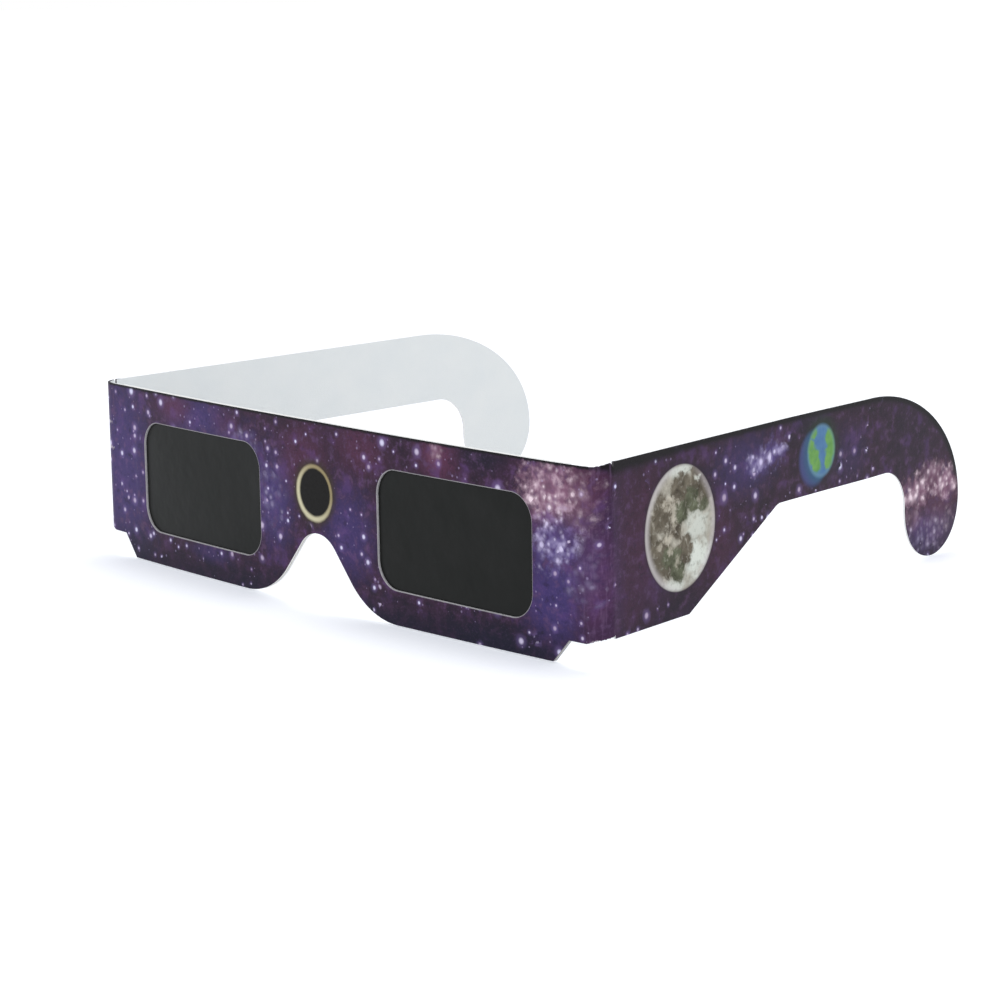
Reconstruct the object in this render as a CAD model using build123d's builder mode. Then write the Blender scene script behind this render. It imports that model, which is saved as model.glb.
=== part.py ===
from build123d import *
from math import asin, cos, degrees, radians, sin
from typing import NamedTuple
import os

os.makedirs("parts", exist_ok=True)

# Card eclipse glasses: a bowed laminated front with two filter windows, and two temples on scored creases.
# X runs along the front, with the wearer's left at +X. Y runs from the front to the rear, and Z is up.
# The origin is the middle of the nose notch's mouth: in the front's printed face, on the surface that the
# glasses stand on. The temples stand as they were left after unfolding, the left one leaning in a little
# and the right one out.

# Card stock and the layers of the front
card = 0.45
film = 0.12

# Front, from one score line to the other, measured along its printed face
front_width = 150.0
front_height = 34.5
bow_radius = 1020.0

# Steps at the ends of the front, where its lower edge rises to the temples' lower edge
end_rise = 4.5
end_inset = 9.2
end_chamfer = 3.8

# Nose notch: a triangle with a rounded top and rounded feet
nose_half_width = 14.65
nose_peak = 17.15
nose_top_radius = 6.5
nose_foot_radius = 17.0

# Card left round each window: below, above, towards the nose and towards the temple
border_below = 6.5
border_above = 6.3
border_at_nose = 17.5
border_at_temple = 17.7
window_corner = 5.0

# Filters behind the windows
filter_lap = 3.5
filter_corner = 2.0
filter_gap = 0.25

# Temples: level lower edge, slope, slim stem and ear hook
temple_length = 121.0
temple_flat = 22.6
slope_end = 52.2
stem_underside = 19.35
slope_radius = 4.0
hook_width = 21.6
hook_radius = 8.0
back_length = 35.2

# Folds: the length of card in each bend, and how far each temple turns in from square to the front
left_bend_length = 5.2
right_bend_length = 5.2
square_angle = 90
left_lean_angle = 12.4
right_lean_angle = -5.0
nick_width = 0.7
nick_depth = 1.1

# Every cut runs past the faces that it goes through by this much
overrun = 5.0

# Places that several pieces share
step_x = front_width / 2 - end_inset
chamfer_x = step_x - end_chamfer
window_width = front_width / 2 - border_at_nose - border_at_temple
window_height = front_height - border_below - border_above
window_pitch = 2 * border_at_nose + window_width
window_middle = border_below + window_height / 2
tip_radius = hook_width / 2
hook_inner = temple_length - hook_width
back_start = temple_length - back_length
laminate = 2 * card + film


class Fold(NamedTuple):
    """One bend between the front and a temple in plan, and the plane of the temple's printed face."""

    side: int
    start_angle: float
    turn: float
    radius: float
    centre: Vector
    axis: Vector
    temple_plane: Plane


def bow_point(angle):
    """The point of the printed face at an angle round the bow from its middle, in plan."""
    return Vector(bow_radius * sin(radians(angle)), bow_radius * (1 - cos(radians(angle))))


def inward(angle):
    """The unit vector that points from the printed face to the wearer, where the card heads at an angle."""
    return Vector(-sin(radians(angle)), cos(radians(angle)))


def make_fold(side, bend_length, lean_angle):
    """Lays out a bend that leaves the front along its bow and ends along the temple.

    The card's middle layer turns on one arc of the given length. The temple swings about the middle of that
    arc, which is as far from the front's card as from the temple's, so it opens flat and folds parallel.
    """
    start_angle = degrees((front_width / 2 - bend_length) / bow_radius)
    heading = square_angle + lean_angle
    turn = heading - start_angle
    middle_radius = bend_length / radians(turn)
    radius = middle_radius + card / 2
    centre = bow_point(start_angle) + inward(start_angle) * radius
    end = centre - inward(heading) * radius
    axis = centre - (inward(start_angle) + inward(heading)).normalized() * middle_radius
    temple_plane = Plane(
        origin=(side * end.X, end.Y, 0),
        x_dir=(side * cos(radians(heading)), sin(radians(heading)), 0),
        z_dir=(sin(radians(heading)), -side * cos(radians(heading)), 0),
    )
    return Fold(side, start_angle, turn, radius, Vector(side * centre.X, centre.Y),
                Vector(side * axis.X, axis.Y), temple_plane)


def layer_sketch(outer_face, thickness, right_angle, left_angle):
    """A bowed layer in plan: a band between two arcs about the bow's centre, with its ends square to them."""
    with BuildSketch() as sketch:
        with BuildLine():
            outer = CenterArc((0, bow_radius), bow_radius - outer_face, 270 - right_angle,
                              right_angle + left_angle)
            inner = CenterArc((0, bow_radius), bow_radius - outer_face - thickness, 270 - right_angle,
                              right_angle + left_angle)
            Line(outer @ 0, inner @ 0)
            Line(outer @ 1, inner @ 1)
        make_face()
    return sketch.sketch


def front_outline():
    """The front seen from ahead, drawn past its ends: the end steps, the lower edges and the nose notch."""
    past_end = front_width / 2 + overrun
    with BuildSketch() as sketch:
        with BuildLine():
            Polyline(
                (0, nose_peak), (nose_half_width, 0), (chamfer_x, 0), (step_x, end_rise),
                (past_end, end_rise), (past_end, front_height), (0, front_height), close=True,
            )
        make_face()
        mirror(about=Plane.YZ)
        fillet(sketch.vertices().sort_by_distance((nose_half_width, 0))[0], nose_foot_radius)
        fillet(sketch.vertices().sort_by_distance((-nose_half_width, 0))[0], nose_foot_radius)
        fillet(sketch.vertices().sort_by_distance((0, nose_peak))[0], nose_top_radius)
    return sketch.sketch


def window_sketch(margin, corner, sides=(-1, 1)):
    """The windows seen from ahead, grown by a margin all round."""
    with BuildSketch() as sketch:
        with Locations(*[(side * window_pitch / 2, window_middle) for side in sides]):
            RectangleRounded(window_width + 2 * margin, window_height + 2 * margin, corner)
    return sketch.sketch


def temple_outline():
    """A temple from its score line, seen from outside: level lower edge, slope, slim stem and ear hook."""
    with BuildSketch() as sketch:
        with BuildLine():
            Polyline(
                (back_start, front_height), (0, front_height), (0, end_rise), (temple_flat, end_rise),
                (slope_end, stem_underside), (hook_inner, stem_underside), (hook_inner, tip_radius),
            )
            CenterArc((hook_inner + tip_radius, tip_radius), tip_radius, 180, 180)
            EllipticalCenterArc((back_start, tip_radius), back_length, front_height - tip_radius,
                                start_angle=0, arc_size=square_angle)
        make_face()
        fillet(sketch.vertices().sort_by_distance((slope_end, stem_underside))[0], slope_radius)
        fillet(sketch.vertices().sort_by_distance((hook_inner, stem_underside))[0], hook_radius)
    return sketch.sketch


def crease_sketch(fold):
    """The bend in plan: the card's thickness between two arcs about the bend's centre."""
    first_angle = 270 + fold.side * fold.start_angle
    with BuildSketch() as sketch:
        with BuildLine():
            outer = CenterArc(fold.centre, fold.radius, first_angle, fold.side * fold.turn)
            inner = CenterArc(fold.centre, fold.radius - card, first_angle, fold.side * fold.turn)
            Line(outer @ 0, inner @ 0)
            Line(outer @ 1, inner @ 1)
        make_face()
    return sketch.sketch


def nick_sketch():
    """The V nicks at the two ends of the score line, seen in the temple's plane."""
    with BuildSketch() as sketch:
        with BuildLine():
            Polyline((-nick_width, front_height), (0, front_height), (0, front_height - nick_depth), close=True)
        make_face()
        with BuildLine():
            Polyline((-nick_width, end_rise), (0, end_rise), (0, end_rise + nick_width), close=True)
        make_face()
    return sketch.sketch


left_fold = make_fold(1, left_bend_length, left_lean_angle)
right_fold = make_fold(-1, right_bend_length, right_lean_angle)

# The liner and the glue end where the front's lower edge steps up, at this angle round the bow
liner_angle = degrees(asin(step_x / bow_radius))

# The outline is cut through the front's whole depth, from its middle back to the score lines
cut_depth = front_width**2 / (8 * bow_radius) + laminate + overrun

with BuildPart() as front_panel:
    with BuildSketch():
        add(layer_sketch(0, card, right_fold.start_angle, left_fold.start_angle))
    extrude(amount=front_height)
    with BuildSketch(Plane.XZ):
        add(front_outline())
        add(window_sketch(0, window_corner), mode=Mode.SUBTRACT)
    extrude(amount=cut_depth, both=True, mode=Mode.INTERSECT)

with BuildPart() as back_panel:
    with BuildSketch():
        add(layer_sketch(card + film, card, liner_angle, liner_angle))
    extrude(amount=front_height)
    with BuildSketch(Plane.XZ):
        add(front_outline())
        add(window_sketch(0, window_corner), mode=Mode.SUBTRACT)
    extrude(amount=cut_depth, both=True, mode=Mode.INTERSECT)

with BuildPart() as adhesive_layer:
    with BuildSketch():
        add(layer_sketch(card, film, liner_angle, liner_angle))
    extrude(amount=front_height)
    with BuildSketch(Plane.XZ):
        add(front_outline())
        add(window_sketch(filter_lap + filter_gap, filter_corner + filter_gap), mode=Mode.SUBTRACT)
    extrude(amount=cut_depth, both=True, mode=Mode.INTERSECT)

with BuildPart() as left_filter:
    with BuildSketch():
        add(layer_sketch(card, film, 0, liner_angle))
    extrude(amount=front_height)
    with BuildSketch(Plane.XZ):
        add(window_sketch(filter_lap, filter_corner, sides=[left_fold.side]))
    extrude(amount=cut_depth, both=True, mode=Mode.INTERSECT)

with BuildPart() as right_filter:
    with BuildSketch():
        add(layer_sketch(card, film, liner_angle, 0))
    extrude(amount=front_height)
    with BuildSketch(Plane.XZ):
        add(window_sketch(filter_lap, filter_corner, sides=[right_fold.side]))
    extrude(amount=cut_depth, both=True, mode=Mode.INTERSECT)

with BuildPart() as left_crease:
    with BuildSketch(Plane.XY.offset(end_rise)):
        add(crease_sketch(left_fold))
    extrude(amount=front_height - end_rise)
    with BuildSketch(left_fold.temple_plane):
        add(nick_sketch())
    extrude(amount=card + nick_width, both=True, mode=Mode.SUBTRACT)

with BuildPart() as right_crease:
    with BuildSketch(Plane.XY.offset(end_rise)):
        add(crease_sketch(right_fold))
    extrude(amount=front_height - end_rise)
    with BuildSketch(right_fold.temple_plane):
        add(nick_sketch())
    extrude(amount=card + nick_width, both=True, mode=Mode.SUBTRACT)

with BuildPart() as left_temple:
    with BuildSketch(left_fold.temple_plane):
        add(temple_outline())
    extrude(amount=-left_fold.side * card)

with BuildPart() as right_temple:
    with BuildSketch(right_fold.temple_plane):
        add(temple_outline())
    extrude(amount=-right_fold.side * card)

front_panel.part.label = "front_panel"
back_panel.part.label = "back_panel"
adhesive_layer.part.label = "adhesive_layer"
left_filter.part.label = "left_filter"
right_filter.part.label = "right_filter"
left_crease.part.label = "left_crease"
right_crease.part.label = "right_crease"
left_temple.part.label = "left_temple"
right_temple.part.label = "right_temple"

export_step(front_panel.part, "parts/front_panel.step")
export_step(back_panel.part, "parts/back_panel.step")
export_step(adhesive_layer.part, "parts/adhesive_layer.step")
export_step(left_filter.part, "parts/left_filter.step")
export_step(right_filter.part, "parts/right_filter.step")
export_step(left_crease.part, "parts/left_crease.step")
export_step(right_crease.part, "parts/right_crease.step")
export_step(left_temple.part, "parts/left_temple.step")
export_step(right_temple.part, "parts/right_temple.step")

for name, fold in (("left", left_fold), ("right", right_fold)):
    print(f"{name} fold: axis at x {fold.axis.X:.3f}, y {fold.axis.Y:.3f}, bent {fold.turn:.2f} degrees at rest")
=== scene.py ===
import math

import bpy
import numpy as np
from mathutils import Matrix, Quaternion, Vector


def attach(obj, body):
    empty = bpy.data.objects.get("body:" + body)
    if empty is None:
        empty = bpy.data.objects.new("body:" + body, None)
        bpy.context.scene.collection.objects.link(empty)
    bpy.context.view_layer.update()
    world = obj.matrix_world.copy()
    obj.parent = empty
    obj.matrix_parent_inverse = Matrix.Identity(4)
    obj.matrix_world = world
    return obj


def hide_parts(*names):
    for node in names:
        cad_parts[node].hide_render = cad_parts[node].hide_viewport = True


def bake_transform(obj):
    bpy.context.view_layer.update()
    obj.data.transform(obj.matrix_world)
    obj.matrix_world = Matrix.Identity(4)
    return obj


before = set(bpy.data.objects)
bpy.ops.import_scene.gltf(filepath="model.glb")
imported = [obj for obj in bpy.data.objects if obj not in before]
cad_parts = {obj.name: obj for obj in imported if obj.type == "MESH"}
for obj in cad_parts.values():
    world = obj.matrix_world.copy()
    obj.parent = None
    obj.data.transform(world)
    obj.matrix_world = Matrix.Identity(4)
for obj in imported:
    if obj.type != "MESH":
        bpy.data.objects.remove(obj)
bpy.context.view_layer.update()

# Card eclipse glasses, drawn as the flat blank that they are cut from. A place on the blank is s along the
# card from its middle, towards the wearer's left, and t up from the front's lower edge. Depth goes into the
# card from its printed face. All three are in millimetres, and on_card() bends the blank into the glasses.
MM = 0.001

# Stock
card = 0.45
film = 0.12

# Front
front_width = 150.0
front_height = 34.5
bow_radius = 1020.0
end_rise = 4.5
end_inset = 9.2
end_chamfer = 3.8
nose_half_width = 14.65
nose_peak = 17.15
nose_top_radius = 6.5
nose_foot_radius = 17.0

# Windows and filters
border_below = 6.5
border_above = 6.3
border_at_nose = 17.5
border_at_temple = 17.7
window_corner = 5.0
filter_lap = 3.5
filter_corner = 2.0
filter_gap = 0.25

# Temples
temple_length = 121.0
temple_flat = 22.6
slope_end = 52.2
stem_underside = 19.35
slope_radius = 4.0
hook_width = 21.6
hook_radius = 8.0
back_length = 35.2

# Bends
bend_length = 5.2
lean_angle = {"left": 12.4, "right": -5.0}
nick_width = 0.7
nick_depth = 1.1
fold_wear = 0.5

# How finely the pieces are meshed, and how far a cut edge is rolled over
outline_step = 0.5
row_step = 2.0
edge_roll = 0.07
film_roll = 0.01
roll_steps = 3

# Places that follow from these
half_front = front_width / 2
bow_end = half_front - bend_length
step_x = half_front - end_inset
window_half = np.array([(half_front - border_at_nose - border_at_temple) / 2,
                        (front_height - border_below - border_above) / 2])
window_centre = np.array([border_at_nose + window_half[0], border_below + window_half[1]])
tip_radius = hook_width / 2
hook_inner = half_front + temple_length - hook_width
back_start = half_front + temple_length - back_length
liner_depth = card + film


def bend_of(side):
    """A bend in plan, as the solids have it: where its arc starts, ends and is centred, for the +X side."""
    start = bow_end / bow_radius
    end = math.radians(90 + lean_angle[side])
    middle_radius = bend_length / (end - start)
    radius = middle_radius + card / 2
    inward_start = np.array([-math.sin(start), math.cos(start)])
    inward_end = np.array([-math.sin(end), math.cos(end)])
    centre = bow_radius * np.array([math.sin(start), 1 - math.cos(start)]) + radius * inward_start
    return {"start": start, "middle_radius": middle_radius, "radius": radius, "centre": centre,
            "along": np.array([math.cos(end), math.sin(end)]), "inward": inward_end,
            "corner": centre - radius * inward_end}


bends = {side: bend_of(side) for side in ("left", "right")}


def warp(s, t):
    """How far the card stands out of true, which bends its reflections: two slow sine waves multiplied."""
    reach, twist = 0.07, 0.06
    return reach * np.sin(s / 21 + 0.6) * np.cos(t / 19) + twist * np.sin(s / 47) * (t / front_height - 0.5)


def slip(s):
    """How far the card stands higher than its level place: the left crease was bent a little askew, so the
    front sags towards it and the temple starts higher and ends lower. Straight lines between a few places
    along the card."""
    return np.interp(s, (0, 62, 71, half_front, 92, 118, 130, 142, 160, 196),
                     (0, -0.32, -0.3, 0.42, 0.36, 0.22, 0.18, 0.04, -0.24, -0.28))


def on_card(s, t, depth):
    """The point of the glasses, in millimetres, at a place and depth of the flat blank.

    Up to the bend the card follows the bow: an arc about (0, bow radius) turned by s / bow radius. In the
    bend it turns about the bend's centre by the length passed / middle radius, and beyond it runs straight
    along the temple. Depth is measured towards each arc's centre, or square to the temple.
    """
    s, t, depth = np.broadcast_arrays(s, t, depth)
    depth = depth + warp(s, t)
    length = np.abs(s)
    turn = length / bow_radius
    reach = bow_radius - depth
    point = np.stack([reach * np.sin(turn), bow_radius - reach * np.cos(turn)], -1)
    for side, sign in (("left", 1), ("right", -1)):
        bend = bends[side]
        turn = bend["start"] + (length - bow_end) / bend["middle_radius"]
        inward = np.stack([-np.sin(turn), np.cos(turn)], -1)
        arc = bend["centre"] - (bend["radius"] - depth)[..., None] * inward
        straight = (bend["corner"] + (length - half_front)[..., None] * bend["along"]
                    + depth[..., None] * bend["inward"])
        beyond = (s * sign > bow_end)[..., None]
        point = np.where(beyond, np.where((length < half_front)[..., None], arc, straight), point)
    lift = slip(s) * np.clip(t / end_rise, 0, 1)
    return np.stack([np.sign(s + 1e-9) * point[..., 0], point[..., 1], t + lift], -1)


def along(points, step):
    """A path through corner points with more points laid between them, evenly, at most a step apart."""
    points = np.asarray(points, float)
    runs = np.diff(points, axis=0)
    counts = np.maximum(1, np.ceil(np.linalg.norm(runs, axis=1) / step).astype(int))
    run = np.repeat(np.arange(len(runs)), counts)
    share = (np.arange(counts.sum()) - np.repeat(np.cumsum(counts) - counts, counts)) / counts[run]
    return np.vstack([points[run] + share[:, None] * runs[run], points[-1:]])


def arc(centre, radii, first, last, step):
    """Points on an ellipse's arc between two angles in degrees: centre + radii * (cosine, sine)."""
    radii = np.broadcast_to(radii, 2)
    count = max(2, math.ceil(abs(math.radians(last - first)) * radii.max() / step)) + 1
    angle = np.radians(np.linspace(first, last, count))
    return np.asarray(centre) + radii * np.stack([np.cos(angle), np.sin(angle)], -1)


def rounded_corner(before, corner, after, radius, step):
    """The arc that rounds a corner: centred on the corner's bisector at radius / sine of half its angle."""
    before, corner, after = (np.asarray(p, float) for p in (before, corner, after))
    one, two = (v / np.linalg.norm(v) for v in (before - corner, after - corner))
    half = math.acos(one @ two) / 2
    bisector = (one + two) / np.linalg.norm(one + two)
    centre = corner + bisector * radius / math.sin(half)
    ends = [corner + v * radius / math.tan(half) - centre for v in (one, two)]
    first, last = (math.degrees(math.atan2(v[1], v[0])) for v in ends)
    turn = (last - first + 180) % 360 - 180
    return arc(centre, radius, first, first + turn, step)


def half_outline(end_x):
    """The outline of the front's left half, anticlockwise from the top of the nose notch to x = end_x."""
    step = outline_step
    peak, foot = (0, nose_peak), (nose_half_width, 0)
    top = rounded_corner((-nose_half_width, 0), peak, foot, nose_top_radius, step)
    top = top[top[:, 0] >= 0]
    shoulder = rounded_corner(peak, foot, (half_front, 0), nose_foot_radius, step)
    edge = [top, shoulder, [(step_x - end_chamfer, 0), (step_x, end_rise)]]
    if end_x > step_x:
        edge.append([(end_x, end_rise)])
    edge.append([(end_x, front_height), (0, front_height), (0, top[0, 1])])
    path = along(np.vstack(edge), step)
    path[0, 0] = 0
    return path[:-1]


def rounded_window(directions, half, corner):
    """How far a rounded rectangle's edge lies from its middle along each direction.

    Along a direction the plain rectangle is met at the nearer of its two sides. Where that point lies past
    the start of a corner, the edge is the corner's circle: the larger root of
    |distance * direction - centre| = corner radius.
    """
    direction = np.abs(directions)
    plain = np.min(half / np.maximum(direction, 1e-9), axis=1)
    centre = half - corner
    middle = direction @ centre
    round_root = middle + np.sqrt(np.maximum(middle**2 - centre @ centre + corner**2, 0))
    in_corner = np.all(plain[:, None] * direction > centre, axis=1)
    return np.where(in_corner, round_root, plain)


def ring_sheet(outline, half, corner):
    """A flat sheet between a closed outline and a window: each point of the outline is joined to the
    window's edge by a straight rule towards the window's middle, and the rules are divided evenly."""
    away = outline - window_centre
    length = np.linalg.norm(away, axis=1)
    direction = away / length[:, None]
    start = rounded_window(direction, half, corner)
    rows = max(2, math.ceil((length - start).max() / row_step)) + 1
    share = np.linspace(0, 1, rows)[:, None]
    reach = start + share * (length - start)
    points = window_centre + reach[..., None] * direction
    return points.reshape(-1, 2), grid_faces(rows, len(outline), closed=True)


def grid_faces(rows, columns, closed=False):
    """The four-sided faces of a grid of points, row by row. Rows run outwards or upwards."""
    row, column = np.meshgrid(np.arange(rows - 1), np.arange(columns - (not closed)), indexing="ij")
    here, right = row * columns + column, row * columns + (column + 1) % columns
    up, corner = here + columns, right + columns
    faces = np.stack([here, up, corner, right], -1) if closed else np.stack([here, right, corner, up], -1)
    return faces.reshape(-1, 4)


def ruled_sheet(lower, upper):
    """A flat sheet between two edges of as many points: straight rules join them and are divided evenly."""
    rows = max(2, math.ceil(np.linalg.norm(upper - lower, axis=1).max() / row_step)) + 1
    share = np.linspace(0, 1, rows)[:, None, None]
    points = lower + share * (upper - lower)
    return points.reshape(-1, 2), grid_faces(rows, len(lower))


def mirrored(points, faces):
    """The same sheet on the wearer's other side."""
    return points * (-1, 1), faces[:, ::-1]


def joined(sheet, other):
    """Two sheets made one: points that lie on each other are merged."""
    points = np.vstack([sheet[0], other[0]])
    faces = np.vstack([sheet[1], other[1] + len(sheet[0])])
    _, first, place = np.unique(np.round(points, 5), axis=0, return_index=True, return_inverse=True)
    return points[first], place.ravel()[faces]


def bowed(sheet):
    """A sheet seen from ahead, measured along the bow: s = bow radius * arcsine of x / bow radius."""
    points = sheet[0].copy()
    points[:, 0] = bow_radius * np.arcsin(points[:, 0] / bow_radius)
    return points, sheet[1]


def front_sheet(end_x, window_grow=0.0, corner=window_corner):
    """The whole front in the flat, with its two windows, out to x = end_x."""
    half = ring_sheet(half_outline(end_x), window_half + window_grow, corner)
    return bowed(joined(half, mirrored(*half)))


def temple_sheet():
    """A temple in the flat. Its lower edge and its upper edge are cut into the same stretches: the straight
    part, the hook's throat against the rounded back, and the two sides of the tip."""
    step, tip = outline_step, (hook_inner + tip_radius, tip_radius)
    slope_top = (half_front + slope_end, stem_underside)
    throat = rounded_corner(slope_top, (hook_inner, stem_underside), (hook_inner, 0), hook_radius, step / 2)
    slope = rounded_corner((half_front + temple_flat, end_rise), slope_top, throat[0], slope_radius, step)
    straight = along(np.vstack([[(half_front, end_rise), (half_front + temple_flat, end_rise)], slope,
                                throat[:1]]), step)
    inner = along(np.vstack([throat, [(hook_inner, tip_radius)]]), step / 2)
    back = arc((back_start, tip_radius), (back_length, front_height - tip_radius), 90, 0, step / 2)
    count = max(len(inner), len(back))
    nearly = 1.0
    inner_tip = arc(tip, tip_radius, 180, 270 - nearly, step / 2)
    outer_tip = arc(tip, tip_radius, 360, 270 + nearly, step / 2)
    level = np.full(len(straight), front_height)
    top = np.stack([np.linspace(half_front, back_start, len(straight)), level], -1)
    lower = np.vstack([straight, respaced(inner, count)[1:], inner_tip[1:]])
    upper = np.vstack([top, respaced(back, count)[1:], outer_tip[1:]])
    return ruled_sheet(lower, upper)


def respaced(path, count):
    """The same path with its points laid evenly along it."""
    length = np.concatenate([[0], np.cumsum(np.linalg.norm(np.diff(path, axis=0), axis=1))])
    place = np.linspace(0, length[-1], count)
    return np.stack([np.interp(place, length, path[:, k]) for k in (0, 1)], -1)


def crease_sheet():
    """The bend in the flat. Its edges are torn a little where the card is scored: a few sine waves of no
    common period, and a V nick at each end of the score line. The lower edge is worn back by the fold
    wear, which grows over the first third of the bend."""
    s = np.linspace(bow_end, half_front, 60)
    share = (s - bow_end) / bend_length
    rough = np.sin(share * 47) * 0.05 + np.sin(share * 83 + 2) * 0.04 + np.sin(share * 140 + 1) * 0.03
    rough = rough * np.sin(math.pi * share)
    to_score = half_front - s
    nick = np.clip(1 - to_score / nick_width, 0, 1)
    worn = fold_wear * np.clip(share * 3, 0, 1)
    lower = np.stack([s, end_rise + np.maximum(nick * nick_width, worn) + rough], -1)
    upper = np.stack([s, front_height - nick * nick_depth - np.abs(rough) * 1.6], -1)
    return ruled_sheet(lower, upper)


def film_sheet():
    """A filter in the flat: a rectangle whose ends are rounded by the corner's circle."""
    half = window_half + filter_lap
    turn = np.linspace(0, math.pi / 2, 8)
    end = half[0] - filter_corner + filter_corner * np.sin(turn)
    x = np.concatenate([-end[::-1], np.linspace(-end[0], end[0], 60)[1:-1], end])
    past = np.clip(np.abs(x) - (half[0] - filter_corner), 0, filter_corner)
    height = half[1] - filter_corner + np.sqrt(np.maximum(filter_corner**2 - past**2, 0))
    lower = np.stack([window_centre[0] + x, window_centre[1] - height], -1)
    upper = np.stack([window_centre[0] + x, window_centre[1] + height], -1)
    return ruled_sheet(lower, upper)


def at_fold(points):
    """Which points lie on a line where the card runs on into its next piece."""
    s = np.abs(points[:, 0])
    return (np.abs(s - bow_end) < 1e-3) | (np.abs(s - half_front) < 1e-3)


def shell(name, sheet, depth, thickness, finishes, window_rim=None, slack=None, roll=edge_roll):
    """A closed piece of stock from a flat sheet.

    Both faces are the sheet, with cut edges drawn in by the roll. Between them a rim goes round every edge:
    a quarter circle, the straight cut and another quarter circle. Edges on a fold line stay square.
    finishes are those of the printed face, the inside and the rim. window_rim tells which edge points are a
    window's, where the roll shows the rim's finish too. slack adds to the depth at each place.
    """
    flat, faces = sheet
    count = len(flat)
    edges = np.stack([faces, np.roll(faces, -1, axis=1)], -1).reshape(-1, 2)
    keys, back = edges[:, 0] * count + edges[:, 1], edges[:, 1] * count + edges[:, 0]
    edges = edges[~np.isin(keys, back)]
    run = flat[edges[:, 1]] - flat[edges[:, 0]]
    run = run / np.linalg.norm(run, axis=1)[:, None]
    square = at_fold(flat[edges[:, 0]]) & at_fold(flat[edges[:, 1]])
    outward = np.zeros((count, 2))
    for end in (0, 1):
        np.add.at(outward, edges[:, end], np.stack([run[:, 1], -run[:, 0]], -1) * ~square[:, None])
    size = np.linalg.norm(outward, axis=1)
    outward = outward / np.maximum(size, 1e-9)[:, None] * (size > 1e-6)[:, None]

    ring, place = np.unique(edges, return_inverse=True)
    place = place.reshape(edges.shape)
    turn = np.linspace(0, math.pi / 2, roll_steps + 1)
    draw_in = roll * (1 - np.sin(turn))
    drop = roll * (1 - np.cos(turn))
    draw_in = np.concatenate([draw_in, draw_in[::-1]])
    drop = np.concatenate([drop, thickness - drop[::-1]])
    rows = len(drop)

    face = flat - outward * roll
    between = flat[ring] - outward[ring] * draw_in[1:-1, None, None]
    places = np.vstack([face, face, between.reshape(-1, 2)])
    inside = np.concatenate([np.zeros(count), np.full(count, thickness), np.repeat(drop[1:-1], len(ring))])
    extra = 0 if slack is None else slack(places)
    points = on_card(places[:, 0], places[:, 1], depth + inside + extra)

    row_start = 2 * count + len(ring) * np.arange(rows - 2)
    row_points = np.vstack([ring, row_start[:, None] + np.arange(len(ring)), ring + count])
    lower, upper = row_points[:-1][:, place], row_points[1:][:, place]
    rim = np.stack([lower[..., 1], lower[..., 0], upper[..., 0], upper[..., 1]], -1)
    on_roll = np.zeros(rim.shape[:2], bool)
    on_roll[:roll_steps] = True
    if window_rim is not None:
        on_roll &= ~window_rim(flat[edges[:, 0]])
    finish = np.concatenate([np.zeros(len(faces)), np.ones(len(faces)), np.where(on_roll, 0, 2).ravel()])
    all_faces = np.vstack([faces, faces[:, ::-1] + count, rim.reshape(-1, 4)])

    mesh = bpy.data.meshes.new(name)
    mesh.from_pydata((points * MM).tolist(), [], all_faces.tolist())
    mesh.polygons.foreach_set("use_smooth", np.ones(len(all_faces), bool))
    mesh.polygons.foreach_set("material_index", finish.astype(np.int32))
    for material in finishes:
        mesh.materials.append(material)
    blank = mesh.attributes.new("blank", "FLOAT_VECTOR", "POINT")
    blank.data.foreach_set("vector", np.column_stack([places, inside + depth]).astype(np.float32).ravel())
    ends = np.zeros(len(mesh.edges) * 2, np.int32)
    mesh.edges.foreach_get("vertices", ends)
    ends = np.sort(ends.reshape(-1, 2), axis=1)
    total = len(points)
    wanted = np.vstack([edges, edges + count])
    wanted = wanted.min(axis=1) * total + wanted.max(axis=1)
    sharp = mesh.attributes.new("sharp_edge", "BOOLEAN", "EDGE")
    sharp.data.foreach_set("value", np.isin(ends[:, 0] * total + ends[:, 1], wanted))
    mesh.update()
    piece = bpy.data.objects.new(name, mesh)
    bpy.context.scene.collection.objects.link(piece)
    return piece


class Wire:
    """A value in a finish's nodes. Python's operators on it add Math nodes."""

    def __init__(self, finish, node, output=0):
        self.finish, self.node, self.socket = finish, node, node.outputs[output]

    def output(self, name):
        """Another output of the same node."""
        return Wire(self.finish, self.node, name)

    def math(self, operation, *terms):
        return self.finish.node("Math", {"operation": operation}, dict(enumerate(terms)))

    def __add__(self, other):
        return self.math("ADD", self, other)

    def __radd__(self, other):
        return self.math("ADD", other, self)

    def __sub__(self, other):
        return self.math("SUBTRACT", self, other)

    def __rsub__(self, other):
        return self.math("SUBTRACT", other, self)

    def __mul__(self, other):
        return self.math("MULTIPLY", self, other)

    def __rmul__(self, other):
        return self.math("MULTIPLY", other, self)

    def __truediv__(self, other):
        return self.math("DIVIDE", self, other)

    def __pow__(self, other):
        return self.math("POWER", self, other)

    def absolute(self):
        return self.math("ABSOLUTE", self)

    def most(self, other):
        return self.math("MAXIMUM", self, other)

    def root(self):
        return self.math("SQRT", self)

    def between(self, low, high):
        """0 below low and 1 above high, with a smooth step between them. Low may be the larger."""
        return self.finish.node("MapRange", {"interpolation_type": "SMOOTHSTEP"},
                                {"Value": self, "From Min": low, "From Max": high})


def srgb(red, green, blue):
    """A colour as it looks on a screen, 0 to 255, turned into the light that shaders count in."""
    share = np.array([red, green, blue]) / 255
    light = np.where(share <= 0.04045, share / 12.92, ((share + 0.055) / 1.055) ** 2.4)
    return (*light.tolist(), 1.0)


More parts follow.
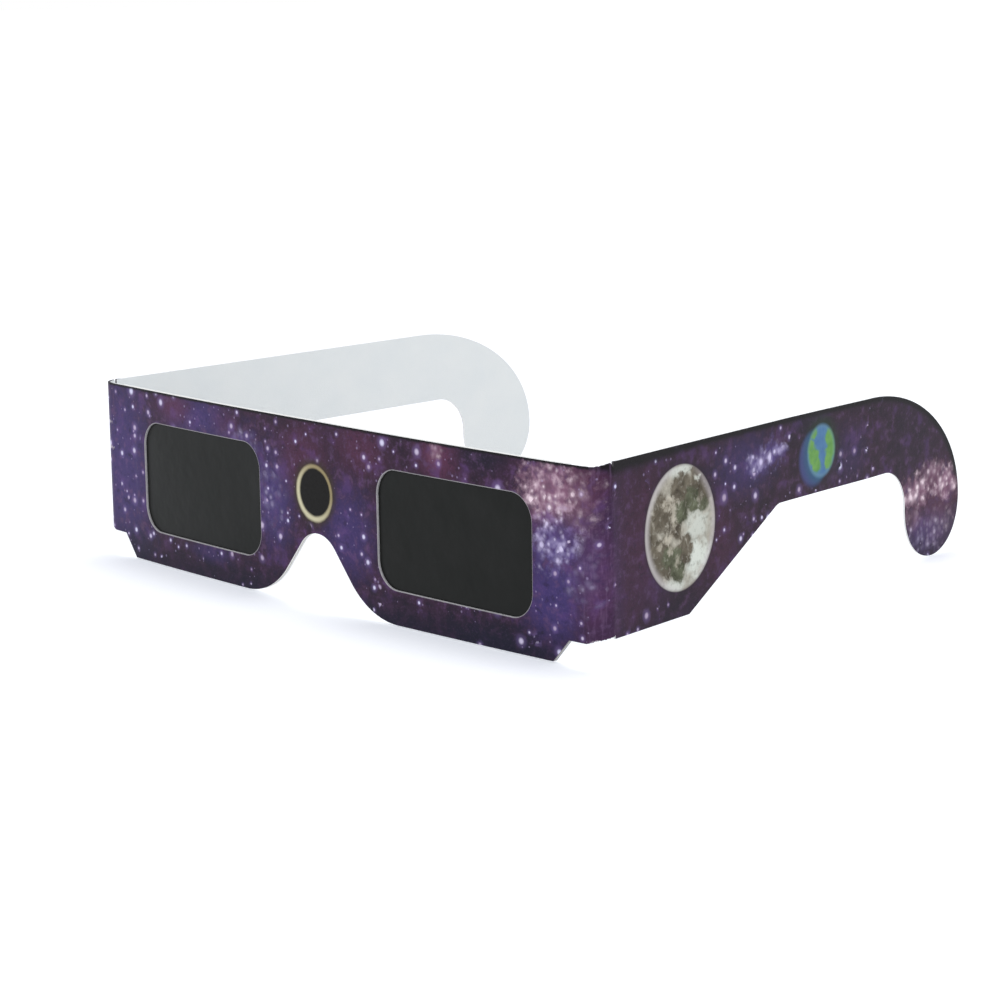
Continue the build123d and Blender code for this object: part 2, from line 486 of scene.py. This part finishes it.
class Finish:
    """One material, or the sky, built from nodes."""

    def __init__(self, name, tree=None):
        if tree is None:
            self.material = bpy.data.materials.new(name)
            self.material.use_nodes = True
            tree = self.material.node_tree
        self.tree = tree
        self.tree.nodes.clear()

    def node(self, kind, settings=None, values=None, output=0):
        """Adds a shader node: its settings first, then the values or wires of its sockets."""
        made = self.tree.nodes.new("ShaderNode" + kind)
        for name, value in (settings or {}).items():
            setattr(made, name, value)
        for name, value in (values or {}).items():
            if isinstance(value, Wire):
                self.tree.links.new(value.socket, made.inputs[name])
            else:
                made.inputs[name].default_value = value
        return Wire(self, made, output) if len(made.outputs) else None

    def place(self):
        """Where a point lies on the flat blank: s, t and depth in millimetres."""
        blank = self.node("Attribute", {"attribute_name": "blank"}, output="Vector")
        split = self.node("SeparateXYZ", values={"Vector": blank})
        return blank, split.output("X"), split.output("Y"), split.output("Z")

    def noise(self, place, scale, detail=2.0, roughness=0.5, distortion=0.0):
        """Fractal noise, stretched until it fills 0 to 1."""
        plain = self.node("TexNoise", {"noise_dimensions": "3D"},
                          {"Vector": place, "Scale": scale, "Detail": detail, "Roughness": roughness,
                           "Distortion": distortion})
        return self.node("MapRange", values={"Value": plain, "From Min": 0.3, "From Max": 0.7})

    def shifted(self, place, offset):
        """A place moved by an offset, so that two patterns don't fall on each other."""
        return self.node("VectorMath", {"operation": "ADD"}, {0: place, 1: offset})

    def squeezed(self, place, scale):
        """A place scaled by its own factor along each axis, which stretches a pattern."""
        return self.node("VectorMath", {"operation": "MULTIPLY"}, {0: place, 1: scale})

    def blend(self, share, first, second, how="MIX"):
        """One colour turning into another as share goes from 0 to 1."""
        return self.node("Mix", {"data_type": "RGBA", "blend_type": how, "clamp_factor": True},
                         {0: share, 6: first, 7: second}, output=2)

    def surface(self, **sockets):
        """The shader of the surface, which ends the material."""
        values = {name.replace("_", " "): value for name, value in sockets.items()}
        shader = self.node("BsdfPrincipled", values=values)
        self.node("OutputMaterial", values={"Surface": shader})
        return self.material

    def bump(self, height, distance):
        """A relief that stands a distance in metres above the surface where height is 1."""
        return self.node("Bump", values={"Height": height, "Distance": distance, "Strength": 1.0},
                         output="Normal")


def seen_from(look, place, middle, reach):
    """A place counted from a middle, in reaches across and up."""
    scale = (1 / reach[0], 1 / reach[1], 0)
    start = (-middle[0] * scale[0], -middle[1] * scale[1], 0)
    return look.node("VectorMath", {"operation": "MULTIPLY_ADD"}, {0: place, 1: scale, 2: start})


def length_of(look, vector):
    """How long a vector is."""
    return look.node("VectorMath", {"operation": "LENGTH"}, {0: vector}, output="Value")


def cloud(look, place, rough, middle, reach):
    """A soft patch of print: 1 at its middle and 0 at its reach. Rough is a noise that frays its edge."""
    return (length_of(look, seen_from(look, place, middle, reach)) + rough).between(1.0, 0.15)


def clouds(look, place, rough, patches):
    """The strongest of several soft patches at each place."""
    strongest = 0.0
    for middle, reach, strength in patches:
        strongest = (cloud(look, place, rough, middle, reach) * strength).most(strongest)
    return strongest


def stars(look, place, cell, smallest, largest, share, offset, crowding=None):
    """Dots strewn one to a cell: each cell's own random numbers say whether it has a star, how large it is,
    and how bright. Where crowding is high, more cells have one. Gives the dot, its halo and its tint."""
    cells = look.node("TexVoronoi", {"voronoi_dimensions": "2D", "feature": "F1"},
                      {"Vector": look.shifted(place, offset), "Scale": 1 / cell, "Randomness": 1.0})
    random = look.node("SeparateColor", values={"Color": cells.output("Color")})
    away = cells.output("Distance") * cell
    lucky = random.output("Red")
    if crowding is not None:
        lucky = lucky + crowding
    there = lucky.between(1 - share, 1 - share + 0.02)
    radius = smallest + (largest - smallest) * random.output("Green") ** 1.6
    dot = (away / radius).between(1.0, 0.3) * there
    halo = (away / radius).between(2.3, 0.5) * there
    return dot, halo, random.output("Blue")


def disc(look, place, middle, radius):
    """A place counted from a disc's middle in radii: as a vector, across, up, and how far away it is."""
    seen = seen_from(look, place, middle, (radius, radius))
    split = look.node("SeparateXYZ", values={"Vector": seen})
    return seen, split.output("X"), split.output("Y"), length_of(look, seen)


# Print, in millimetres on the blank
ring_middle, ring_radius, ring_line = (-0.5, 21.2), 4.9, 0.32
moon_middle, moon_radius = (94.95, 20.1), 11.0
globe_middle, globe_radius = (142.35, 26.95), 4.9
shade_middle, shade_radius = (139.7, 25.9), 5.1

# Soft patches of the print: middle, reach and strength
violet_patches = [((-66, 18), (17, 30), 0.95), ((-22, 20), (12, 15), 0.95), ((-38, 31), (18, 6), 0.9),
                  ((-13, 18), (9, 15), 0.85), ((9, 15), (11, 13), 0.85), ((62, 11), (11, 14), 1.0),
                  ((72, 16), (8, 20), 0.4), ((-34, 5.0), (10, 3), 0.7), ((116, 28), (15, 8), 0.75),
                  ((153, 25), (9, 8), 0.4), ((186, 5), (13, 7), 0.65), ((86, 13), (9, 8), 0.25)]
maroon_patches = [((-46, 32), (9, 4.5), 0.7), ((-28, 31), (7, 4), 0.35), ((13, 31), (10, 7), 0.6),
                  ((34, 32), (8, 6), 0.9), ((-4, 27), (11, 10), 0.5), ((68, 31), (9, 7), 0.6),
                  ((72, 15), (7, 18), 0.4), ((106, 16), (11, 11), 0.4), ((188, 13), (15, 8), 0.9),
                  ((83, 20), (12, 19), 0.5), ((-110, 24), (20, 9), 0.6)]
navy_patches = [((0, -3), (90, 10), 1.0), ((-62, -1), (13, 9), 0.8), ((48, 0), (26, 8), 1.0),
                ((95, 2), (20, 9), 0.5), ((175, 27), (16, 15), 0.3), ((137, 33), (10, 5), 0.7),
                ((45, 33), (9, 4), 0.6), ((79, 22), (7, 18), 0.2)]
quiet_patches = [((79, 22), (9, 20), 0.5), ((174, 27), (20, 13), 0.9), ((36, 2), (28, 6), 0.3),
                 ((-30, 0), (30, 5), 0.15), ((186, 12), (14, 13), 0.7), ((63, 24), (10, 13), 0.4),
                 ((73, 15), (6, 22), 0.22), ((96, 10), (24, 12), 0.2), ((141, 27), (10, 12), 0.5)]
pink_glows = [((61.5, 29), (9.5, 8), 1.0), ((67, 28), (7, 8), 0.4), ((33.5, 33), (2.5, 3.5), 0.45),
              ((178.5, 14), (8, 4.5), 0.85), ((191, 14), (7.5, 4.5), 0.85), ((185, 16.5), (8, 3.5), 0.5),
              ((178, 9), (5, 4), 0.35), ((187, 6), (10, 6), 0.19), ((-112, 27), (12, 5), 0.7)]
blue_glows = [((63, 21), (8, 6.5), 0.85), ((120, 27.6), (6, 3.0), 0.75), ((125.5, 28.9), (6, 3.2), 0.95),
              ((182, 5), (11, 6), 0.24), ((-14, 19), (6, 8), 0.22), ((-24, 28), (9, 3.5), 0.3),
              ((69, 17), (6, 9), 0.25), ((-150, 26), (14, 5), 0.6)]
dark_plum, plum = srgb(35, 22, 37), srgb(68, 41, 66)
violet, maroon, navy = srgb(67, 54, 108), srgb(92, 49, 77), srgb(28, 27, 46)
temple_tone = srgb(20, 6, 12)


def night_print():
    """The star print under a thin varnish: patches of colour, glowing clouds, stars, and the discs."""
    look = Finish("night_print")
    place, s, t, _ = look.place()
    broad = look.noise(place, 0.08, 3, 0.6, 0.5)
    patchy = look.noise(look.shifted(place, (40, 3, 0)), 0.24, 3, 0.55, 0.2)
    grain = look.noise(place, 0.5, 4, 0.6, 0.1)
    fine = look.noise(place, 1.9, 3, 0.6)
    ragged = (grain - 0.5) * 0.5

    colour = look.blend(patchy, dark_plum, plum)
    for patches, tint in ((violet_patches, violet), (maroon_patches, maroon), (navy_patches, navy)):
        colour = look.blend(clouds(look, place, ragged, patches), colour, tint)
    low = t.between(8.0, 1.0)
    colour = look.blend(grain.between(0.5, 1.0) * (0.34 - low * 0.26), colour, srgb(120, 88, 134))
    colour = look.blend(grain.between(0.42, 0.05) * 0.5, colour, srgb(30, 20, 38))
    root = s.between(72, 78) * s.between(92, 84)
    mottled = patchy.between(0.55, 1.0) * (0.34 - low * 0.28 - root * 0.2)
    colour = look.blend(mottled, colour, srgb(98, 68, 132))
    colour = look.blend(fine.between(0.55, 1.0) * 0.11, colour, srgb(136, 108, 156))
    colour = look.blend(fine.between(0.4, 0.0) * 0.14, colour, srgb(24, 17, 32))
    colour = look.blend(low * 0.3, colour, navy)
    colour = look.blend(s.between(75, 82) * 0.25, colour, temple_tone)
    colour = clusters(look, place, ragged, fine, colour)
    colour = strewn_stars(look, place, s, ragged, broad, colour)

    colour = top_band(look, s, t, grain, colour)
    colour = eclipse(look, place, grain, colour)
    colour = moon(look, place, colour)
    colour = globe(look, place, colour)
    colour = worn_folds(look, place, s, t, fine, colour)
    colour = window_line(look, s, t, fine, colour)

    paper = look.noise(place, 5.0, 3, 0.6)
    height = paper * 0.25 + emboss(s, t) * 1.0
    return look.surface(Base_Color=colour, Roughness=0.42 + fine * 0.1, Normal=look.bump(height, 0.00005),
                        Specular_IOR_Level=0.12)


def clusters(look, place, ragged, fine, colour):
    """Glowing clouds, pink or blue: a soft haze, brighter in its middle, with a crowd of small stars."""
    large, large_halo, bright = stars(look, place, 2.5, 0.45, 0.95, 0.6, (7.7, 4.2, 0))
    small, small_halo, dim = stars(look, place, 1.45, 0.3, 0.62, 0.66, (3.1, 7.7, 0))
    mist = look.noise(look.shifted(place, (9, 31, 0)), 0.42, 2, 0.5)
    for patches, haze, spark in ((pink_glows, srgb(166, 121, 149), srgb(252, 230, 242)),
                                 (blue_glows, srgb(106, 88, 158), srgb(224, 214, 250))):
        glow = clouds(look, place, ragged * 1.4, patches)
        colour = look.blend(glow * (0.4 + mist * 0.5), colour, haze)
        colour = look.blend(glow * glow * mist.between(0.3, 1.0) * (0.3 + fine * 0.25), colour, spark)
        colour = look.blend(glow * small_halo * 0.22, colour, spark)
        colour = look.blend(glow * large_halo * 0.3, colour, spark)
        colour = look.blend(glow * glow * small * (0.2 + dim * 0.65), colour, spark)
        colour = look.blend(glow * large * (0.45 + bright * 0.75), colour, spark)
    return colour


def strewn_stars(look, place, s, ragged, broad, colour):
    """Stars over the whole print: large, middling and dust. Temples and quiet patches have fewer."""
    crowding = (broad - 0.5) * 0.3 - s.absolute().between(71, 80) * 0.16
    crowding = crowding - clouds(look, place, ragged, quiet_patches)
    dust, _, _ = stars(look, place, 1.7, 0.16, 0.36, 0.26, (11.3, 2.9, 0), crowding)
    colour = look.blend(dust * 0.38, colour, srgb(186, 168, 214))
    for cell, smallest, largest, share, offset in ((3.1, 0.28, 0.58, 0.32, (5.2, 9.1, 0)),
                                                   (5.0, 0.55, 0.95, 0.34, (0.4, 1.3, 0))):
        dot, halo, random = stars(look, place, cell, smallest, largest, share, offset, crowding)
        tint = look.blend(random, srgb(238, 214, 240), srgb(226, 224, 255))
        colour = look.blend(halo * 0.3, colour, srgb(146, 122, 190))
        colour = look.blend(dot * (0.4 + random * 0.6), colour, tint)
    return colour


def top_band(look, s, t, grain, colour):
    """Dark along the upper edge, most of all over the temple's root."""
    across, up = (s.absolute() - back_start) / back_length, (t - tip_radius) / (front_height - tip_radius)
    past = across.most(0.0)
    from_edge = (1 - (past * past + up * up).root()) * (front_height - tip_radius)
    root = s.between(half_front + 32, half_front + 2) * s.between(half_front - 2, half_front)
    width = 0.4 + root * 0.95 + s.between(half_front - 5, half_front - 1) * 0.5 + (grain - 0.5) * 0.35
    band = (from_edge / width).between(1.7, 0.5) * t.between(tip_radius, tip_radius + 6)
    return look.blend(band * 0.95, colour, srgb(7, 5, 8))


def eclipse(look, place, grain, colour):
    """The black disc over the nose, its pale gold ring, brighter at the lower left, and the brown glow."""
    _, across, up, away = disc(look, place, ring_middle, ring_radius)
    lower_left = ((across + up) / away.most(0.1)).between(1.3, -1.3)
    colour = look.blend(away.between(1.46, 1.04) * 0.85, colour, srgb(56, 46, 32))
    colour = look.blend(away.between(1.04, 0.94), colour, srgb(9, 7, 5))
    line = ring_line * (0.85 + 0.4 * lower_left + (grain - 0.5) * 0.2) / ring_radius
    ring = ((away - 1.0).absolute() / line).between(2.1, 0.3)
    gold = look.blend(lower_left, srgb(158, 144, 108), srgb(214, 208, 176))
    return look.blend(ring, colour, gold)


# The moon's plains, brown or green, its pale grounds and its ridges, in radii from its middle: middle,
# reach and strength
brown_plains = [((0.12, 0.58), (0.62, 0.34), 1.0), ((0.68, 0.52), (0.34, 0.34), 1.0),
                ((0.47, 0.86), (0.24, 0.16), 0.8), ((-0.1, -0.02), (0.26, 0.3), 0.6),
                ((-0.84, -0.1), (0.3, 0.6), 0.6), ((0.1, -0.38), (0.28, 0.34), 1.0),
                ((-0.5, 0.28), (0.48, 0.46), 0.8), ((-0.56, -0.42), (0.56, 0.54), 1.0)]
green_plains = [((0.32, 0.4), (0.32, 0.28), 0.9), ((0.66, 0.26), (0.2, 0.2), 0.6),
                ((0.02, 0.24), (0.3, 0.3), 0.8), ((-0.28, -0.42), (0.4, 0.26), 0.7),
                ((-0.08, -0.66), (0.28, 0.24), 0.95)]
pale_grounds = [((0.46, 0.0), (0.6, 0.4), 0.75), ((0.48, -0.55), (0.6, 0.5), 1.0),
                ((0.0, 0.92), (0.7, 0.16), 0.8), ((-0.3, -0.9), (0.6, 0.2), 0.9),
                ((0.54, 0.72), (0.3, 0.1), 0.8)]
pale_ridges = [((-0.3, 0.42), (0.3, 0.14), 0.7), ((-0.2, 0.22), (0.12, 0.3), 0.6),
               ((-0.36, -0.12), (0.18, 0.14), 0.7), ((-0.3, -0.32), (0.12, 0.12), 0.6),
               ((-0.6, -0.2), (0.12, 0.1), 0.5), ((-0.1, -0.52), (0.1, 0.16), 0.5)]


def moon(look, place, colour):
    """A full moon on the temple: dark plains with ragged shores, a pale ridge between them, pale ground
    towards the lower right and a bright rim. The ink round it is a little darker."""
    seen, across, _, away = disc(look, place, moon_middle, moon_radius)
    colour = look.blend(away.between(1.14, 1.0) * 0.4, colour, srgb(36, 27, 38))
    shore = look.noise(place, 0.42, 4, 0.6, 0.5)
    speck = look.noise(place, 0.95, 3, 0.6)
    broad = look.noise(look.shifted(place, (3, 8, 0)), 0.34, 3, 0.6, 0.8)
    rough = (shore - 0.5) * 0.65 + (speck - 0.5) * 0.12
    tone = look.blend(shore, srgb(140, 134, 122), srgb(190, 185, 172))
    tone = look.blend(clouds(look, seen, rough, pale_grounds), tone, srgb(228, 234, 226))
    for patches, dark, light in ((brown_plains, srgb(64, 55, 42), srgb(122, 114, 99)),
                                 (green_plains, srgb(62, 63, 44), srgb(110, 115, 92))):
        plain = clouds(look, seen, rough, patches).between(0.04, 0.5)
        tone = look.blend(plain, tone, look.blend(broad, dark, light))
    tone = look.blend(clouds(look, seen, (speck - 0.5) * 1.0, pale_ridges), tone, srgb(206, 198, 182))
    tone = look.blend(speck.between(0.5, 1.0) * 0.3, tone, srgb(88, 86, 70))
    tone = look.blend(speck.between(0.42, 0.0) * 0.2, tone, srgb(224, 222, 210))
    edge = away.between(0.82, 0.98)
    tone = look.blend(edge * across.between(0.3, -0.7) * 0.8, tone, srgb(208, 203, 204))
    tone = look.blend(edge * across.between(0.2, 0.9) * 0.5, tone, srgb(210, 202, 208))
    tone = look.blend(away.between(0.95, 1.0) * 0.4, tone, srgb(104, 94, 100))
    return look.blend(away.between(1.015, 0.985), colour, tone)


# The globe's land, in radii from its middle: middle, reach, strength
lands = [((-0.6, 0.74), (0.52, 0.34), 0.9), ((-0.82, 0.24), (0.42, 0.42), 1.0),
         ((-0.56, -0.12), (0.6, 0.5), 1.0), ((-0.32, -0.54), (0.44, 0.52), 1.0),
         ((0.64, 0.44), (0.54, 0.56), 1.0), ((0.72, 0.0), (0.56, 0.7), 1.0),
         ((0.58, -0.46), (0.42, 0.5), 1.0)]


def globe(look, place, colour):
    """A small blue globe with soft-edged green land, its darker shadow disc to the lower left, and a dark
    green fringe."""
    shadow = disc(look, place, shade_middle, shade_radius)[3].between(1.14, 0.86)
    seen, _, up, near = disc(look, place, globe_middle, globe_radius)
    fringe = near.between(1.5, 1.0) * up.between(-0.6, 0.5)
    colour = look.blend(near.between(1.9, 1.0) * 0.5, colour, srgb(40, 38, 46))
    colour = look.blend(fringe * 0.7, colour, srgb(34, 52, 36))
    shade = look.blend(near.between(1.6, 0.9), srgb(72, 78, 134), srgb(52, 100, 134))
    colour = look.blend(shadow * 0.8, colour, shade)
    coast = look.noise(place, 0.42, 3, 0.6, 0.4)
    tone = look.blend(coast, srgb(74, 114, 164), srgb(88, 132, 174))
    land = clouds(look, seen, (coast - 0.5) * 0.4, lands).between(0.0, 0.7)
    tone = look.blend(land, tone, look.blend(coast, srgb(120, 172, 90), srgb(92, 148, 76)))
    tone = look.blend(near.between(0.78, 1.02) * 0.5, tone, srgb(112, 150, 164))
    return look.blend(near.between(1.1, 0.9), colour, tone)


# Places where the ink is scuffed off the folds: middle, reach and strength
scuffs = [((-71.4, 26.6), (2.2, 0.5), 1.0), ((-71.0, 21.4), (2.4, 0.5), 1.0),
          ((-73.0, 28.9), (0.7, 0.4), 1.0), ((71.4, 4.9), (1.1, 0.4), 0.8), ((73.4, 4.8), (0.6, 0.35), 0.7),
          ((-72.5, 5.1), (1.2, 0.5), 1.0)]


def worn_folds(look, place, s, t, fine, colour):
    """The ink is stretched and cracked over the folds: faint pale streaks along them, and a few scuffs that
    show the paper."""
    u = s.absolute()
    streak = look.noise(look.squeezed(place, (1.3, 0.16, 1)), 1.0, 3, 0.6)
    on_fold = u.between(bow_end - 2.5, bow_end + 1.5) * u.between(half_front + 0.6, half_front - 0.8)
    colour = look.blend(on_fold * streak.between(0.45, 1.0) * 0.22, colour, srgb(138, 108, 148))
    bare = clouds(look, place, (fine - 0.5) * 0.8, scuffs)
    return look.blend(bare * 0.85, colour, srgb(206, 196, 206))


def from_window(s, t):
    """Distance outside a window's rounded edge, negative inside it: that of the corner circle's rectangle
    less the corner radius."""
    middle, straight = window_centre.tolist(), (window_half - window_corner).tolist()
    across = ((s.absolute() - middle[0]).absolute() - straight[0]).most(0.0)
    up = ((t - middle[1]).absolute() - straight[1]).most(0.0)
    return (across * across + up * up).root() - window_corner


def window_line(look, s, t, fine, colour):
    """A pale line round each window, where the ink stops short of the cut."""
    line = (from_window(s, t) + (fine - 0.5) * 0.06).between(0.22, 0.08)
    return look.blend(line * 0.75, colour, srgb(160, 156, 162))


def emboss(s, t):
    """The filter's edge shows through the card as a faint step, 1 over the filter and 0 beyond it."""
    return from_window(s, t).between(filter_lap + 0.5, filter_lap - 0.5)


def bare_card():
    """The uncoated inside of the card: near white, with short fibres and faint clouding."""
    look = Finish("bare_card")
    place, s, t, _ = look.place()
    fibre = look.noise(place, 4.0, 5, 0.65)
    cloudy = look.noise(place, 0.12, 3, 0.5)
    colour = look.blend(cloudy, srgb(234, 238, 240), srgb(238, 241, 242))
    colour = look.blend(fibre.between(0.7, 1.0) * 0.15, colour, srgb(220, 224, 226))
    height = fibre * 0.6 + emboss(s, t) * 0.8
    return look.surface(Base_Color=colour, Roughness=0.85, Normal=look.bump(height, 0.00004),
                        Specular_IOR_Level=0.25)


def card_core():
    """The cut edge of the card: pale layers of fibre with streaks along the cut. Ink has run into it round
    the windows, the chamfers are greyed with painted shade, and the top of each fold is darker."""
    look = Finish("card_core")
    place, s, t, _ = look.place()
    streak = look.noise(place, 2.6, 4, 0.7)
    colour = look.blend(streak, srgb(238, 239, 241), srgb(252, 252, 253))
    inked = look.blend(streak, srgb(172, 170, 174), srgb(198, 196, 200))
    colour = look.blend(from_window(s, t).between(0.6, 0.3), colour, inked)
    u = s.absolute()
    # Painted shade: the chamfers' cut edges, which face down and away from the light, are greyed.
    chamfer = u.between(step_x - end_chamfer - 0.6, step_x - end_chamfer) * u.between(step_x + 0.6, step_x)
    chamfer_painted_shade = chamfer * t.between(end_rise + 0.6, end_rise - 0.2)
    colour = look.blend(chamfer_painted_shade, colour, look.blend(streak, srgb(138, 136, 142), srgb(186, 184, 190)))
    fold = u.between(bow_end - 1.5, bow_end + 0.5) * u.between(half_front + 1.5, half_front)
    colour = look.blend(fold * t.between(28, 32) * 0.9, colour, srgb(52, 42, 52))
    return look.surface(Base_Color=colour, Roughness=0.9, Normal=look.bump(streak, 0.00005),
                        Specular_IOR_Level=0.2)


def filter_black():
    """The filter: smooth black film with a faint drift of tone."""
    look = Finish("filter_black")
    place, _, _, _ = look.place()
    drift = look.noise(place, 0.11, 3, 0.5)
    colour = look.blend(drift, srgb(22, 24, 22), srgb(29, 30, 29))
    return look.surface(Base_Color=colour, Roughness=0.3 + drift * 0.1, Specular_IOR_Level=0.1,
                        Normal=look.bump(look.noise(place, 0.3, 2, 0.5), 0.00003))


def dried_glue():
    """The glue between the layers, seen only along the front's edges."""
    look = Finish("dried_glue")
    place, _, _, _ = look.place()
    patchy = look.noise(place, 1.4, 3, 0.6)
    colour = look.blend(patchy, srgb(200, 196, 184), srgb(222, 219, 210))
    return look.surface(Base_Color=colour, Roughness=0.5 + patchy * 0.2)


def film_slack(places):
    """The film bellies a little inside its window: a sine wave across times one up, fading out at the
    edge."""
    from_middle = (np.abs(np.abs(places[:, 0]) - window_centre[0]), np.abs(places[:, 1] - window_centre[1]))
    fade = [np.clip((half - away) / 4, 0, 1) for half, away in zip(window_half, from_middle)]
    return 0.12 * fade[0] * fade[1] * np.sin(places[:, 0] / 9 + 1) * np.cos(places[:, 1] / 7)


def of_window(points):
    """Which edge points are a window's: those that lie inside the front's rectangle of borders."""
    s, t = np.abs(points[:, 0]) - window_centre[0], points[:, 1] - window_centre[1]
    return (np.abs(s) < window_half[0] + 0.5) & (np.abs(t) < window_half[1] + 0.5)


def make_glasses():
    printed, bare, core, black, glue = night_print(), bare_card(), card_core(), filter_black(), dried_glue()
    printed_card = (printed, bare, core)

    front_end = bow_radius * math.sin(bow_end / bow_radius)
    front = shell("front_card", front_sheet(front_end), 0.0, card, printed_card, of_window)
    liner = shell("liner_card", front_sheet(step_x), liner_depth, card, (bare, bare, core), of_window)
    pocket = front_sheet(step_x, filter_lap + filter_gap, filter_corner + filter_gap)
    glue_ring = shell("glue_film", pocket, card, film, (glue, glue, glue), roll=film_roll)
    for piece, node, slot in ((front, "front_panel", "printed_card"), (liner, "back_panel", "white_card"),
                              (glue_ring, "adhesive_layer", "glue")):
        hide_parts(node)
        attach(piece, "front")

    sheets = {"temple": temple_sheet(), "crease": crease_sheet(), "film": bowed(film_sheet())}
    for side in ("left", "right"):
        turned = sheets if side == "left" else {name: mirrored(*sheet) for name, sheet in sheets.items()}
        film_piece = shell(f"{side}_film", turned["film"], card, film, (black, black, black),
                           slack=film_slack, roll=film_roll)
        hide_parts(f"{side}_filter")
        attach(film_piece, "front")

        temple = shell(f"{side}_temple_card", turned["temple"], 0.0, card, printed_card)
        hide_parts(f"{side}_temple")
        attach(temple, f"{side}_temple")

        crease = shell(f"{side}_crease_card", turned["crease"], 0.0, card, printed_card)
        sign = 1 if side == "left" else -1
        ends = [Vector(on_card(sign * s, 0.0, card / 2) * MM) for s in (bow_end + 1e-4, half_front)]
        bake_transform(crease)
        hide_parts(f"{side}_crease")


# Camera, in millimetres and degrees
camera_place = (420.2, -320.42, 117.2)
camera_aim = (13.57, 32.79, 17.19)
camera_roll = -0.936
camera_lens = 105.55
sensor = 36.0


def make_camera():
    data = bpy.data.cameras.new("camera")
    data.lens, data.sensor_width = camera_lens, sensor
    data.clip_start, data.clip_end = 0.01, 20
    camera = bpy.data.objects.new("camera", data)
    bpy.context.scene.collection.objects.link(camera)
    place, aim = Vector(camera_place) * MM, Vector(camera_aim) * MM
    camera.location = place
    camera.rotation_mode = "QUATERNION"
    level = (aim - place).to_track_quat("-Z", "Y")
    camera.rotation_quaternion = level @ Quaternion((0, 0, 1), math.radians(camera_roll))
    bpy.context.scene.camera = camera


# Studio: lamps as the direction they shine from, their width in degrees and their strength. The sky is a
# little cool, so that shadows are.
lamps = [((-0.08, 0.24, 1.0), 25, 0.8), ((0.7, -0.8, 0.45), 60, 0.5)]
sky_light, sky_colour = 0.8, (0.97, 0.985, 1.0, 1)
floor_lift, lift_colour = 0.34, (0.94, 1.0, 1.14, 1)
floor_reach, floor_drop = 6000.0, 0.3


def seen_by_camera(look):
    """1 where the camera, a reflection or a clear surface looks, 0 where light is gathered."""
    path = look.node("LightPath")
    looked_at = path.output("Is Camera Ray").most(path.output("Is Glossy Ray"))
    return looked_at.most(path.output("Is Transmission Ray"))


def make_sky():
    world = bpy.data.worlds.new("sky")
    bpy.context.scene.world = world
    world.use_nodes = True
    look = Finish("sky", world.node_tree)
    seen = seen_by_camera(look)
    lit = look.node("Background", values={"Color": sky_colour, "Strength": sky_light})
    white = look.node("Background", values={"Color": (1, 1, 1, 1), "Strength": 1.0})
    both = look.node("MixShader", values={0: seen, 1: lit, 2: white})
    look.node("OutputWorld", values={"Surface": both})


def make_lamps():
    for number, (place, width, strength) in enumerate(lamps):
        data = bpy.data.lights.new(f"lamp_{number}", "SUN")
        data.angle, data.energy = math.radians(width), strength
        lamp = bpy.data.objects.new(f"lamp_{number}", data)
        lamp.rotation_mode = "QUATERNION"
        lamp.rotation_quaternion = (-Vector(place)).to_track_quat("-Z", "Y")
        bpy.context.scene.collection.objects.link(lamp)


def make_floor():
    """A white floor just under the glasses. Where it is looked at it shines a little, so that only shadows
    are darker than white."""
    look = Finish("floor_white")
    matt = look.node("BsdfDiffuse", values={"Color": (0.8, 0.8, 0.8, 1)})
    lift = look.node("Emission",
                     values={"Color": lift_colour, "Strength": seen_by_camera(look) * floor_lift})
    both = look.node("AddShader", values={0: matt, 1: lift})
    look.node("OutputMaterial", values={"Surface": both})
    corners = np.array([(-1, -1, 0), (1, -1, 0), (1, 1, 0), (-1, 1, 0)]) * floor_reach - (0, 0, floor_drop)
    mesh = bpy.data.meshes.new("floor")
    mesh.from_pydata((corners * MM).tolist(), [], [(0, 1, 2, 3)])
    mesh.materials.append(look.material)
    floor = bpy.data.objects.new("floor", mesh)
    bpy.context.scene.collection.objects.link(floor)


make_glasses()
make_camera()
make_sky()
make_lamps()
make_floor()
bpy.context.scene.view_settings.view_transform = "Standard"
